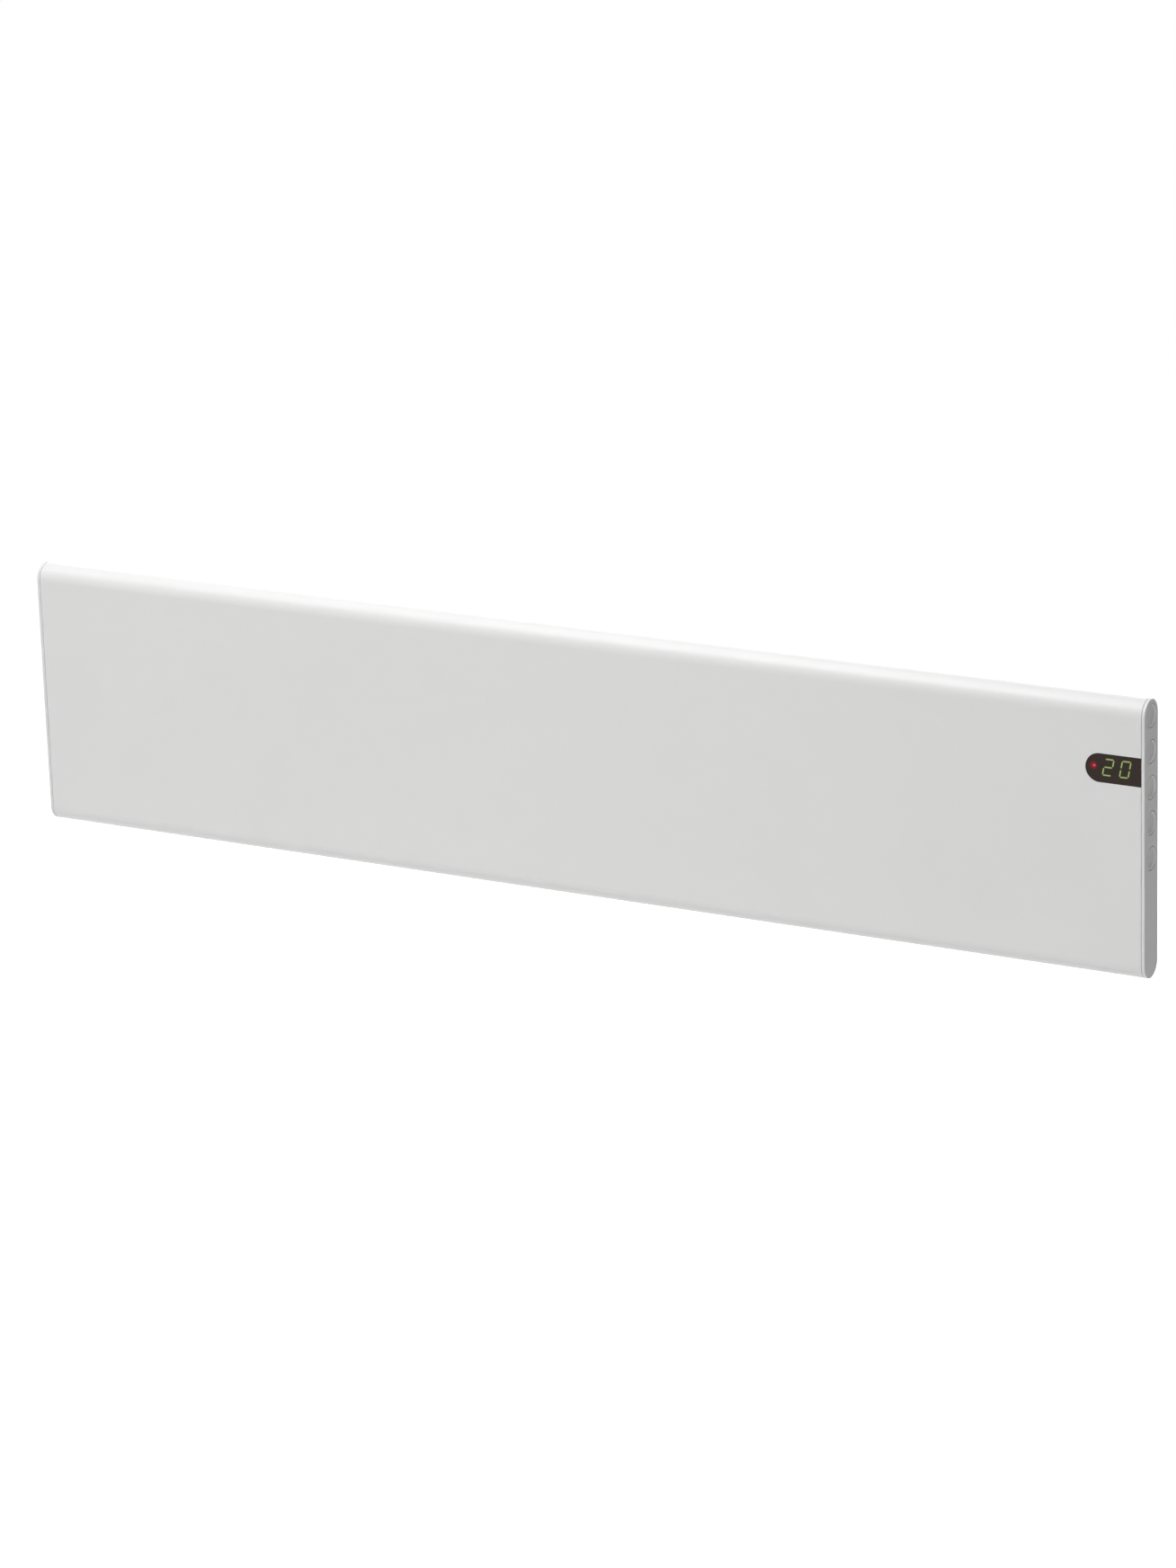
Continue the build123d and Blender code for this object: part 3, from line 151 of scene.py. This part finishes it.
class Shader:
    """A node tree being wired up."""

    def __init__(self, tree):
        self.tree = tree
        tree.nodes.clear()

    def node(self, kind, settings=None, inputs=None, output=0):
        """Adds a node: its settings are set first, then the values or links of its sockets."""
        made = self.tree.nodes.new("ShaderNode" + kind)
        for setting, value in (settings or {}).items():
            if setting == "stops":
                self.set_stops(made.color_ramp, value)
            else:
                setattr(made, setting, value)
        for socket, value in (inputs or {}).items():
            if isinstance(value, Socket):
                self.tree.links.new(value.output, made.inputs[socket])
            else:
                made.inputs[socket].default_value = value
        return Socket(self, made.outputs[output]) if made.outputs else None

    def set_stops(self, ramp, stops):
        while len(ramp.elements) < len(stops):
            ramp.elements.new(1.0)
        for element, (position, colour) in zip(ramp.elements, stops):
            element.position = position
            element.color = colour

    def maths(self, operation, *values):
        return self.node("Math", {"operation": operation}, dict(enumerate(values)))

    def smallest(self, first, second):
        return self.maths("MINIMUM", first, second)

    def largest(self, first, second):
        return self.maths("MAXIMUM", first, second)

    def fade(self, value, start, end):
        """0 before start and 1 after end, with a soft step between them."""
        return self.node("MapRange", {"interpolation_type": "SMOOTHSTEP"},
                         {"Value": value, "From Min": start, "From Max": end})

    def place(self, scale=(1.0, 1.0, 1.0)):
        """The point on the piece, in its body's frame, stretched by scale."""
        point = self.node("TexCoord", output="Object")
        return self.node("VectorMath", {"operation": "MULTIPLY"}, {0: point, 1: scale})

    def axes(self):
        """The point's x, y and z as three values."""
        point = self.node("TexCoord", output="Object")
        split = self.node("SeparateXYZ", inputs={0: point})
        return [Socket(self, out) for out in split.output.node.outputs]

    def noise(self, size, detail=2.0, rough=0.5, stretch=(1.0, 1.0, 1.0)):
        """Cloudy values about 0.5, with features of about size metres."""
        point = self.place(stretch)
        return self.node("TexNoise", None, {"Vector": point, "Scale": 1.0 / size, "Detail": detail,
                                            "Roughness": rough}, "Fac")

    def cells(self, size, output="Color"):
        point = self.place()
        return self.node("TexVoronoi", None, {"Vector": point, "Scale": 1.0 / size}, output)

    def mix(self, factor, first, second):
        """The first colour where factor is 0, the second where it is 1."""
        return self.node("Mix", {"data_type": "RGBA"}, {0: factor, 6: first, 7: second}, 2)

    def glow(self, x, z, middle, reach):
        """1 at the middle, falling softly to 0 at reach, on a face that looks along Y."""
        across, up = x - middle[0], z - middle[1]
        return 1.0 - self.fade(self.maths("SQRT", across * across + up * up), 0.0, reach)

    def bump(self, height, depth):
        return self.node("Bump", None, {"Strength": 1.0, "Distance": depth, "Height": height})


class Finish(Shader):
    """A material with one principled surface."""

    def __init__(self, name):
        self.material = bpy.data.materials.new(name)
        self.material.use_nodes = True
        super().__init__(self.material.node_tree)

    def surface(self, **values):
        """Ends the finish; each value is a principled input, its name's spaces written as _."""
        inputs = {name.replace("_", " "): value for name, value in values.items()}
        surface = self.node("BsdfPrincipled", None, inputs)
        self.node("OutputMaterial", None, {"Surface": surface})
        return self.material


def tone(colour, level):
    """A colour lightened or darkened by level."""
    return tuple(min(channel * level, 1.0) for channel in colour[:3]) + (1.0,)


# ---------------------------------------------------------------- finishes

def powder_coat(name, colour, rough, peel_depth=0.02 * MM):
    """Satin stoved powder: a fine orange peel, cloudy tone, and faintly duller handled patches."""
    coat = Finish(name)
    drift = coat.noise(160.0 * MM, 3.0)
    grain = coat.noise(0.9 * MM, 2.0)
    handled = coat.fade(coat.noise(70.0 * MM, 4.0, 0.6), 0.52, 0.72)
    colour_drift = coat.mix(drift, tone(colour, 0.985), tone(colour, 1.015))
    base = coat.mix(handled * 0.12, colour_drift, tone(colour, 0.93))
    peel = coat.noise(1.6 * MM, 1.0) + 0.25 * grain
    return coat.surface(
        Base_Color=base,
        Roughness=rough + 0.06 * handled + 0.05 * (grain - 0.5),
        Normal=coat.bump(peel, peel_depth),
    )


def moulded(name, colour, rough, grain_size=0.35 * MM, grain_depth=0.02 * MM, shine=0.5):
    """Moulded plastic: spark-eroded grain, faint flow marks, and scuffed high spots."""
    plastic = Finish(name)
    flow = plastic.noise(30.0 * MM, 2.0, 0.5, (0.4, 1.0, 1.0))
    grain = plastic.noise(grain_size, 3.0, 0.6)
    scuffs = plastic.fade(plastic.noise(12.0 * MM, 5.0, 0.65), 0.58, 0.8)
    body = plastic.mix(flow, tone(colour, 0.97), tone(colour, 1.03))
    base = plastic.mix(scuffs * 0.1, body, tone(colour, 0.9))
    return plastic.surface(
        Base_Color=base,
        Roughness=rough + 0.08 * (grain - 0.5) + 0.08 * scuffs,
        Normal=plastic.bump(grain, grain_depth),
        Specular_IOR_Level=shine,
    )


def zinc_sheet(name, colour, rough):
    """Zinc-coated steel: soft spangle, rolling lines along the strip, and dull water marks."""
    zinc = Finish(name)
    spangle = zinc.node("SeparateColor", inputs={0: zinc.cells(5.0 * MM)})
    rolling = zinc.noise(0.5 * MM, 3.0, 0.6, (0.02, 1.0, 1.0))
    stain = zinc.fade(zinc.noise(30.0 * MM, 4.0, 0.6), 0.5, 0.75)
    bright = zinc.mix(0.35 * spangle + 0.65 * rolling, tone(colour, 0.5), tone(colour, 0.76))
    base = zinc.mix(stain * 0.3, bright, tone(colour, 0.6))
    return zinc.surface(
        Base_Color=base,
        Metallic=1.0,
        Roughness=rough + 0.12 * (spangle - 0.5) + 0.1 * (rolling - 0.5) + 0.12 * stain,
        Normal=zinc.bump(rolling, 0.006 * MM),
    )


def extruded_aluminium(name):
    """Mill-finish extrusion, drawn along X: die lines and a light grey oxide bloom."""
    colour = (0.74, 0.75, 0.76)
    bar = Finish(name)
    lines = bar.noise(0.35 * MM, 4.0, 0.7, (0.004, 1.0, 1.0))
    bloom = bar.fade(bar.noise(50.0 * MM, 3.0), 0.45, 0.7)
    base = bar.mix(lines, tone(colour, 0.82), tone(colour, 1.08))
    return bar.surface(
        Base_Color=bar.mix(bloom * 0.35, base, tone(colour, 0.8)),
        Metallic=1.0,
        Roughness=0.34 + 0.14 * (lines - 0.5) + 0.1 * bloom,
        Normal=bar.bump(lines, 0.02 * MM),
    )


def heat_tinted_steel(name):
    """The heater rod's sheath: grey steel with straw and blue heat tint in bands."""
    sheath = Finish(name)
    heat = sheath.noise(30.0 * MM, 3.0, 0.5, (1.0, 0.2, 0.2))
    tint = sheath.node("ValToRGB", {"stops": (
        (0.3, (0.4, 0.39, 0.37, 1.0)),
        (0.5, (0.42, 0.33, 0.2, 1.0)),
        (0.62, (0.3, 0.22, 0.24, 1.0)),
        (0.75, (0.2, 0.24, 0.33, 1.0)),
    )}, {"Fac": heat})
    drawn = sheath.noise(0.3 * MM, 3.0, 0.6, (0.01, 1.0, 1.0))
    return sheath.surface(
        Base_Color=tint,
        Metallic=1.0,
        Roughness=0.36 + 0.2 * (drawn - 0.5),
        Normal=sheath.bump(drawn, 0.01 * MM),
    )


def bright_screw(name):
    """Zinc-plated screw steel, with fine turning lines and dull spots."""
    colour = (0.72, 0.73, 0.74)
    steel = Finish(name)
    turning = steel.noise(0.12 * MM, 2.0)
    dull = steel.fade(steel.noise(2.0 * MM, 3.0), 0.5, 0.7)
    return steel.surface(
        Base_Color=steel.mix(dull * 0.4, tone(colour, 1.0), tone(colour, 0.7)),
        Metallic=1.0,
        Roughness=0.28 + 0.12 * dull + 0.1 * (turning - 0.5),
        Normal=steel.bump(turning, 0.005 * MM),
    )


def unglazed_ceramic(name):
    """Steatite: chalky off-white with fine pores and a few darker specks."""
    colour = (0.88, 0.86, 0.8)
    ceramic = Finish(name)
    pores = ceramic.noise(0.25 * MM, 3.0, 0.6)
    specks = ceramic.fade(ceramic.noise(0.6 * MM, 2.0), 0.68, 0.74)
    shade = ceramic.mix(ceramic.noise(4.0 * MM), tone(colour, 0.95), tone(colour, 1.03))
    return ceramic.surface(
        Base_Color=ceramic.mix(specks * 0.5, shade, tone(colour, 0.6)),
        Roughness=0.72 + 0.1 * (pores - 0.5),
        Normal=ceramic.bump(pores, 0.03 * MM),
    )


def circuit_board(name):
    """Green solder mask over copper tracks, with bare tinned pads between them."""
    mask_green = (0.03, 0.16, 0.07)
    board = Finish(name)
    tracks = 14.0
    winding = board.noise(9.0 * MM, 1.0)
    track = 1.0 - board.fade(abs(board.maths("FRACT", winding * tracks) - 0.5), 0.1, 0.16)
    pads = 1.0 - board.fade(board.cells(6.0 * MM, "Distance"), 0.12, 0.15)
    mask = board.mix(track * 0.6, tone(mask_green, 0.8), tone(mask_green, 2.0))
    return board.surface(
        Base_Color=board.mix(pads, mask, (0.6, 0.58, 0.52, 1.0)),
        Metallic=pads * 0.9,
        Roughness=0.35 + 0.1 * (winding - 0.5),
        Normal=board.bump(board.largest(track, pads), 0.04 * MM),
    )


def taped_winding(name):
    """A transformer's yellow tape, wound in overlapping turns round the coil, with painted shade along
    the low side of each turn's step.
    """
    colour = (0.66, 0.54, 0.16)
    tape = Finish(name)
    turn_height = 4.0 * MM
    turns = tape.maths("FRACT", tape.axes()[2] * (1.0 / turn_height))
    # edge marks the low side of each turn's step: it darkens the colour there as painted shade, and makes
    # the tape a little rougher.
    edge = 1.0 - tape.fade(turns, 0.04, 0.1)
    shade = tape.mix(tape.noise(6.0 * MM, 2.0), tone(colour, 0.88), tone(colour, 1.1))
    return tape.surface(
        Base_Color=tape.mix(edge * 0.5, shade, tone(colour, 0.6)),
        Roughness=0.3 + 0.1 * edge,
        Normal=tape.bump(turns, 0.05 * MM),
    )


def rubber(name, colour, rough=0.62):
    """Moulded rubber with a fine dusty bloom."""
    skin = Finish(name)
    grain = skin.noise(0.2 * MM, 3.0, 0.6)
    bloom = skin.fade(skin.noise(5.0 * MM, 4.0, 0.6), 0.45, 0.75)
    return skin.surface(
        Base_Color=skin.mix(bloom * 0.35, tone(colour, 1.0), tone(colour, 2.2)),
        Roughness=rough + 0.15 * bloom,
        Normal=skin.bump(grain, 0.02 * MM),
        Specular_IOR_Level=0.3,
    )


def braided_sleeve(name):
    """Heat-proof sleeving on the leads: a fine cross braid over pale silicone, with painted shade in the
    braid's hollows.
    """
    colour = (0.78, 0.75, 0.68)
    strands = 260.0
    sleeve = Finish(name)
    settings = {"wave_type": "BANDS", "bands_direction": "DIAGONAL"}
    one_way, other = [
        sleeve.node("TexWave", settings, {"Vector": sleeve.place(way), "Scale": strands}, "Fac")
        for way in ((1.0, 1.0, 1.0), (-1.0, 1.0, 1.0))
    ]
    weave_and_painted_shade = sleeve.largest(one_way, other)
    soil = sleeve.noise(20.0 * MM, 3.0)
    # The braid's relief is real; its colour follows that relief and is darker in the hollows as painted
    # shade.
    base = sleeve.mix(weave_and_painted_shade, tone(colour, 0.78), tone(colour, 1.06))
    return sleeve.surface(
        Base_Color=sleeve.mix(soil * 0.2, base, tone(colour, 0.7)),
        Roughness=0.6 + 0.1 * (weave_and_painted_shade - 0.5),
        Normal=sleeve.bump(weave_and_painted_shade, 0.05 * MM),
    )


# ---------------------------------------------------------------- display

def bar_place(bar):
    """A bar's centre in its upright digit, in units of the digit's half width and half height."""
    if bar.endswith(("left", "right")):
        side = 1.0 if bar.endswith("right") else -1.0
        row = UPRIGHT_BAR_MIDDLE if bar.startswith("upper") else -UPRIGHT_BAR_MIDDLE
        return side, row, True
    return 0.0, {"top": 1.0, "middle": 0.0, "bottom": -1.0}[bar], False


def digit_distance(window, x, z):
    """How far a point lies from the nearest lit bar, in metres; below 0 within a bar."""
    nearest = 1.0
    rise = z - DIGIT_MID_Z
    lean = x - DIGIT_SLANT * rise
    for centre, bars in zip(DIGIT_CENTRES, LIT_BARS):
        for bar in bars:
            side, row, upright = bar_place(bar)
            across = abs(lean - (centre + side * DIGIT_HALF_WIDTH))
            up = abs(rise - row * DIGIT_HALF_HEIGHT)
            along, off = (up, across) if upright else (across, up)
            half = DIGIT_HALF_WIDTH - LEVEL_BAR_GAP
            if upright:
                half = DIGIT_HALF_HEIGHT / 2 - UPRIGHT_BAR_GAP
            inside = window.largest(off - BAR_HALF_THICK, along + off - half)
            nearest = window.smallest(inside, nearest)
    return nearest


def smoked_window(name):
    """Very dark brown gloss plastic; the lit bars and the pilot glow through it and hide its own tone."""
    window = Finish(name)
    x, _, z = window.axes()
    nearest = digit_distance(window, x, z)
    bars = 1.0 - window.fade(nearest, -BAR_EDGE, BAR_EDGE)
    halo = 1.0 - window.fade(nearest, 0.0, HALO_REACH)
    core = window.glow(x, z, PILOT_PLACE, PILOT_REACH)
    flare = window.glow(x, z, FLARE_PLACE, FLARE_REACH)
    light = window.mix(halo * halo, BLACK, HALO_LIGHT)
    light = window.mix(bars, light, BAR_LIGHT)
    light = window.mix(flare * flare, light, FLARE_LIGHT)
    light = window.mix(core, light, PILOT_LIGHT)
    film = window.fade(window.noise(6.0 * MM, 4.0, 0.6), 0.45, 0.75)
    scratches = window.noise(0.4 * MM, 4.0, 0.7, (0.1, 1.0, 1.0))
    smoke = window.mix(film, tone(SMOKE, 0.94), tone(SMOKE, 1.08))
    return window.surface(
        Base_Color=window.mix(SMOKE_HIDDEN_BY_GLOW * window.largest(halo, flare), smoke, BLACK),
        Roughness=0.14 + 0.06 * film + 0.04 * (scratches - 0.5),
        Specular_IOR_Level=0.12,
        Emission_Color=light,
        Emission_Strength=1.0,
        Normal=window.bump(scratches, 0.002 * MM),
    )


def make_finishes():
    """One finish for each material slot of the record."""
    return {
        "casing_paint": powder_coat("casing_paint", (0.85, 0.85, 0.845), 0.4),
        "cap_plastic": moulded("cap_plastic", (0.84, 0.84, 0.84), 0.5),
        "key_plastic": moulded("key_plastic", (0.82, 0.82, 0.82), 0.45, grain_depth=0.01 * MM),
        "smoked_window": smoked_window("smoked_window"),
        "rear_paint": powder_coat("rear_paint", (0.78, 0.78, 0.77), 0.45),
        "grille_paint": powder_coat("grille_paint", (0.8, 0.8, 0.79), 0.42),
        "zinc_steel": zinc_sheet("zinc_steel", (0.62, 0.63, 0.64), 0.36),
        "aluminium_extrusion": extruded_aluminium("aluminium_extrusion"),
        "heater_sheath": heat_tinted_steel("heater_sheath"),
        "ceramic": unglazed_ceramic("ceramic"),
        "board_green": circuit_board("board_green"),
        "black_plastic": moulded("black_plastic", (0.04, 0.04, 0.045), 0.45),
        "relay_blue": moulded("relay_blue", (0.06, 0.14, 0.35), 0.28, grain_depth=0.004 * MM),
        "transformer_yellow": taped_winding("transformer_yellow"),
        "capacitor_sleeve": moulded("capacitor_sleeve", (0.03, 0.03, 0.05), 0.25),
        "natural_plastic": moulded("natural_plastic", (0.75, 0.73, 0.68), 0.48),
        "pilot_red": moulded("pilot_red", (0.65, 0.02, 0.02), 0.2, grain_depth=0.003 * MM),
        "screw_steel": bright_screw("screw_steel"),
        "black_rubber": rubber("black_rubber", (0.03, 0.03, 0.03)),
        "wire_sleeve": braided_sleeve("wire_sleeve"),
        "latch_plastic": moulded("latch_plastic", (0.08, 0.08, 0.085), 0.42),
    }


def dress_nodes(finishes):
    """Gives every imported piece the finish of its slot."""
    slots = {part["node"]: part["material_slot"] for part in frame["record"]["subparts"]}
    for name, node in frame["nodes"].items():
        node.data.materials.clear()
        node.data.materials.append(finishes[slots[name]])


# ---------------------------------------------------------------- screws

def islands(mesh):
    """The points of each separate shell of a mesh, in the order of the mesh."""
    shape = bmesh.new()
    shape.from_mesh(mesh)
    bmesh.ops.remove_doubles(shape, verts=shape.verts, dist=WELD_REACH)
    reached = set()
    found = []
    for start in shape.verts:
        if start in reached:
            continue
        reached.add(start)
        shell = [start]
        for vertex in shell:
            for edge in vertex.link_edges:
                other = edge.other_vert(vertex)
                if other not in reached:
                    reached.add(other)
                    shell.append(other)
        found.append([vertex.co.copy() for vertex in shell])
    shape.free()
    return found


def cross_cutter(places, outward):
    """Tapered crosses, one sunk into each screw head; outward is +1 where heads face +Y."""
    shape = bmesh.new()
    for place in places:
        for angle in (0.0, math.pi / 2):
            blade = bmesh.ops.create_cube(shape, size=1.0)["verts"]
            for vertex in blade:
                deep = vertex.co.y * outward < 0
                vertex.co.x *= CUTTER_LENGTH * (FOOT_LENGTH_SHARE if deep else 1.0)
                vertex.co.z *= CUTTER_WIDTH * (FOOT_WIDTH_SHARE if deep else 1.0)
                vertex.co.y *= 2 * RECESS_DEPTH
            bmesh.ops.rotate(shape, verts=blade, matrix=Matrix.Rotation(angle, 3, "Y"))
            bmesh.ops.translate(shape, verts=blade, vec=place)
    mesh = bpy.data.meshes.new("cross_cutter")
    shape.to_mesh(mesh)
    shape.free()
    cutter = bpy.data.objects.new("cross_cutter", mesh)
    bpy.context.scene.collection.objects.link(cutter)
    return cutter


def cut_screws(node, outward, finish):
    """Copies a node of screws, with a cross recess in every head."""
    source = frame["nodes"][node]
    places = []
    for shell in islands(source.data):
        low, high = [Vector(pick(axis) for axis in zip(*shell)) for pick in (min, max)]
        top = high.y if outward > 0 else low.y
        places.append(Vector(((low.x + high.x) / 2, top, (low.z + high.z) / 2)))
    screws = bpy.data.objects.new(node + "_crossed", source.data.copy())
    bpy.context.scene.collection.objects.link(screws)
    cutter = cross_cutter(places, outward)
    cut = screws.modifiers.new("recesses", "BOOLEAN")
    cut.operation = "DIFFERENCE"
    cut.solver = "EXACT"
    cut.use_self = True
    cut.object = cutter
    shown = bpy.context.evaluated_depsgraph_get()
    screws.data = bpy.data.meshes.new_from_object(screws.evaluated_get(shown))
    screws.modifiers.clear()
    bpy.data.objects.remove(cutter)
    screws.data.materials.clear()
    screws.data.materials.append(finish)
    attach(screws, "heater")
    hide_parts(node)


# ---------------------------------------------------------------- stage, lamps and camera

def seen_directly(shader):
    """1 on rays that reach the eye straight, by a mirror or through glass."""
    path = shader.node("LightPath").output.node
    ways = ("Is Camera Ray", "Is Glossy Ray", "Is Transmission Ray")
    camera, glossy, through = [Socket(shader, path.outputs[way]) for way in ways]
    return shader.largest(shader.largest(camera, glossy), through)


def make_world():
    """Dim even light on the heater, and a white backdrop wherever the eye meets it."""
    world = bpy.data.worlds.new("studio")
    world.use_nodes = True
    bpy.context.scene.world = world
    air = Shader(world.node_tree)
    ambient = air.node("Background", None, {"Color": WHITE, "Strength": AMBIENT})
    backdrop = air.node("Background", None, {"Color": WHITE, "Strength": 1.0})
    both = air.node("MixShader", None, {0: seen_directly(air), 1: ambient, 2: backdrop})
    air.node("OutputWorld", None, {"Surface": both})


def make_floor():
    """A round sheet of pale paper that looks brighter outwards, and still takes the heater's shadow."""
    shape = bmesh.new()
    bmesh.ops.create_circle(shape, cap_ends=True, radius=FLOOR_RADIUS, segments=FLOOR_SIDES)
    bmesh.ops.translate(shape, verts=shape.verts, vec=(0.0, 0.0, cad_low.z - FLOOR_DROP))
    mesh = bpy.data.meshes.new("studio_floor")
    shape.to_mesh(mesh)
    shape.free()
    floor = bpy.data.objects.new("studio_floor", mesh)
    bpy.context.scene.collection.objects.link(floor)
    paper = Finish("pale_paper")
    x, y, _ = paper.axes()
    outward = paper.fade(paper.maths("SQRT", x * x + y * y), *FLOOR_GLOW_REACH)
    below, beyond = [
        paper.node("Emission", None, {"Color": WHITE, "Strength": strength}) for strength in FLOOR_GLOW
    ]
    glow = paper.node("MixShader", None, {0: outward, 1: below, 2: beyond})
    matte = paper.node("BsdfDiffuse", None, {"Color": FLOOR_COLOUR})
    lifted = paper.node("AddShader", None, {0: matte, 1: glow})
    both = paper.node("MixShader", None, {0: seen_directly(paper), 1: matte, 2: lifted})
    paper.node("OutputMaterial", None, {"Surface": both})
    mesh.materials.append(paper.material)


def add_softbox(name, place, aim, width, height, watts):
    """A rectangular lamp that is turned towards aim and stays out of the picture."""
    light = bpy.data.lights.new(name, "AREA")
    light.shape = "RECTANGLE"
    light.size = width
    light.size_y = height
    light.energy = watts
    lamp = bpy.data.objects.new(name, light)
    lamp.visible_camera = False
    bpy.context.scene.collection.objects.link(lamp)
    lamp.location = place
    lamp.rotation_mode = "QUATERNION"
    lamp.rotation_quaternion = (Vector(aim) - Vector(place)).to_track_quat("-Z", "Y")


def make_lamps():
    """Soft boxes round the heater: each one's place, aim, width, height and power."""
    middle = (0.0, -0.06, 0.0)
    key_end = (0.4, -0.06, 0.0)
    add_softbox("over_front", (-0.8, -1.3, 2.2), middle, 2.4, 0.8, 26.0)
    add_softbox("over_right", (0.95, -1.5, 2.0), key_end, 0.9, 0.7, 16.0)
    add_softbox("overhead", (-0.65, -0.22, 2.0), middle, 2.3, 0.9, 21.5)
    add_softbox("front_left", (-2.4, -2.6, 0.3), middle, 1.6, 1.6, 12.2)
    add_softbox("low_front", (-0.1, -1.3, -0.85), middle, 2.6, 1.0, 6.2)
    add_softbox("under", (0.0, -0.25, -0.95), middle, 2.6, 1.2, 4.3)
    add_softbox("low_right", (2.6, -0.3, -0.7), key_end, 1.2, 1.0, 2.8)
    add_softbox("behind", (-0.6, 2.6, 0.5), middle, 3.6, 2.6, 40.0)


def make_camera():
    """Places the camera from its yaw, pitch and roll."""
    ahead = Vector((-math.sin(CAMERA_YAW) * math.cos(CAMERA_PITCH),
                    math.cos(CAMERA_YAW) * math.cos(CAMERA_PITCH), -math.sin(CAMERA_PITCH)))
    level_right = Vector((math.cos(CAMERA_YAW), math.sin(CAMERA_YAW), 0.0))
    level_down = ahead.cross(level_right)
    right = math.cos(CAMERA_ROLL) * level_right + math.sin(CAMERA_ROLL) * level_down
    down = math.cos(CAMERA_ROLL) * level_down - math.sin(CAMERA_ROLL) * level_right
    data = bpy.data.cameras.new("camera")
    data.lens = LENS
    data.sensor_width = SENSOR
    data.clip_end = VIEW_REACH
    camera = bpy.data.objects.new("camera", data)
    bpy.context.scene.collection.objects.link(camera)
    turn = Matrix((right, -down, -ahead)).transposed().to_4x4()
    camera.matrix_world = Matrix.Translation(CAMERA_PLACE) @ turn
    bpy.context.scene.camera = camera


finishes = make_finishes()
dress_nodes(finishes)
for screw_node in ("end_cap_screws", "rear_plate_screws", "housing_screws"):
    cut_screws(screw_node, 1, finishes["screw_steel"])
cut_screws("board_screws", -1, finishes["screw_steel"])
make_world()
make_floor()
make_lamps()
make_camera()
bpy.context.scene.view_settings.view_transform = "Standard"
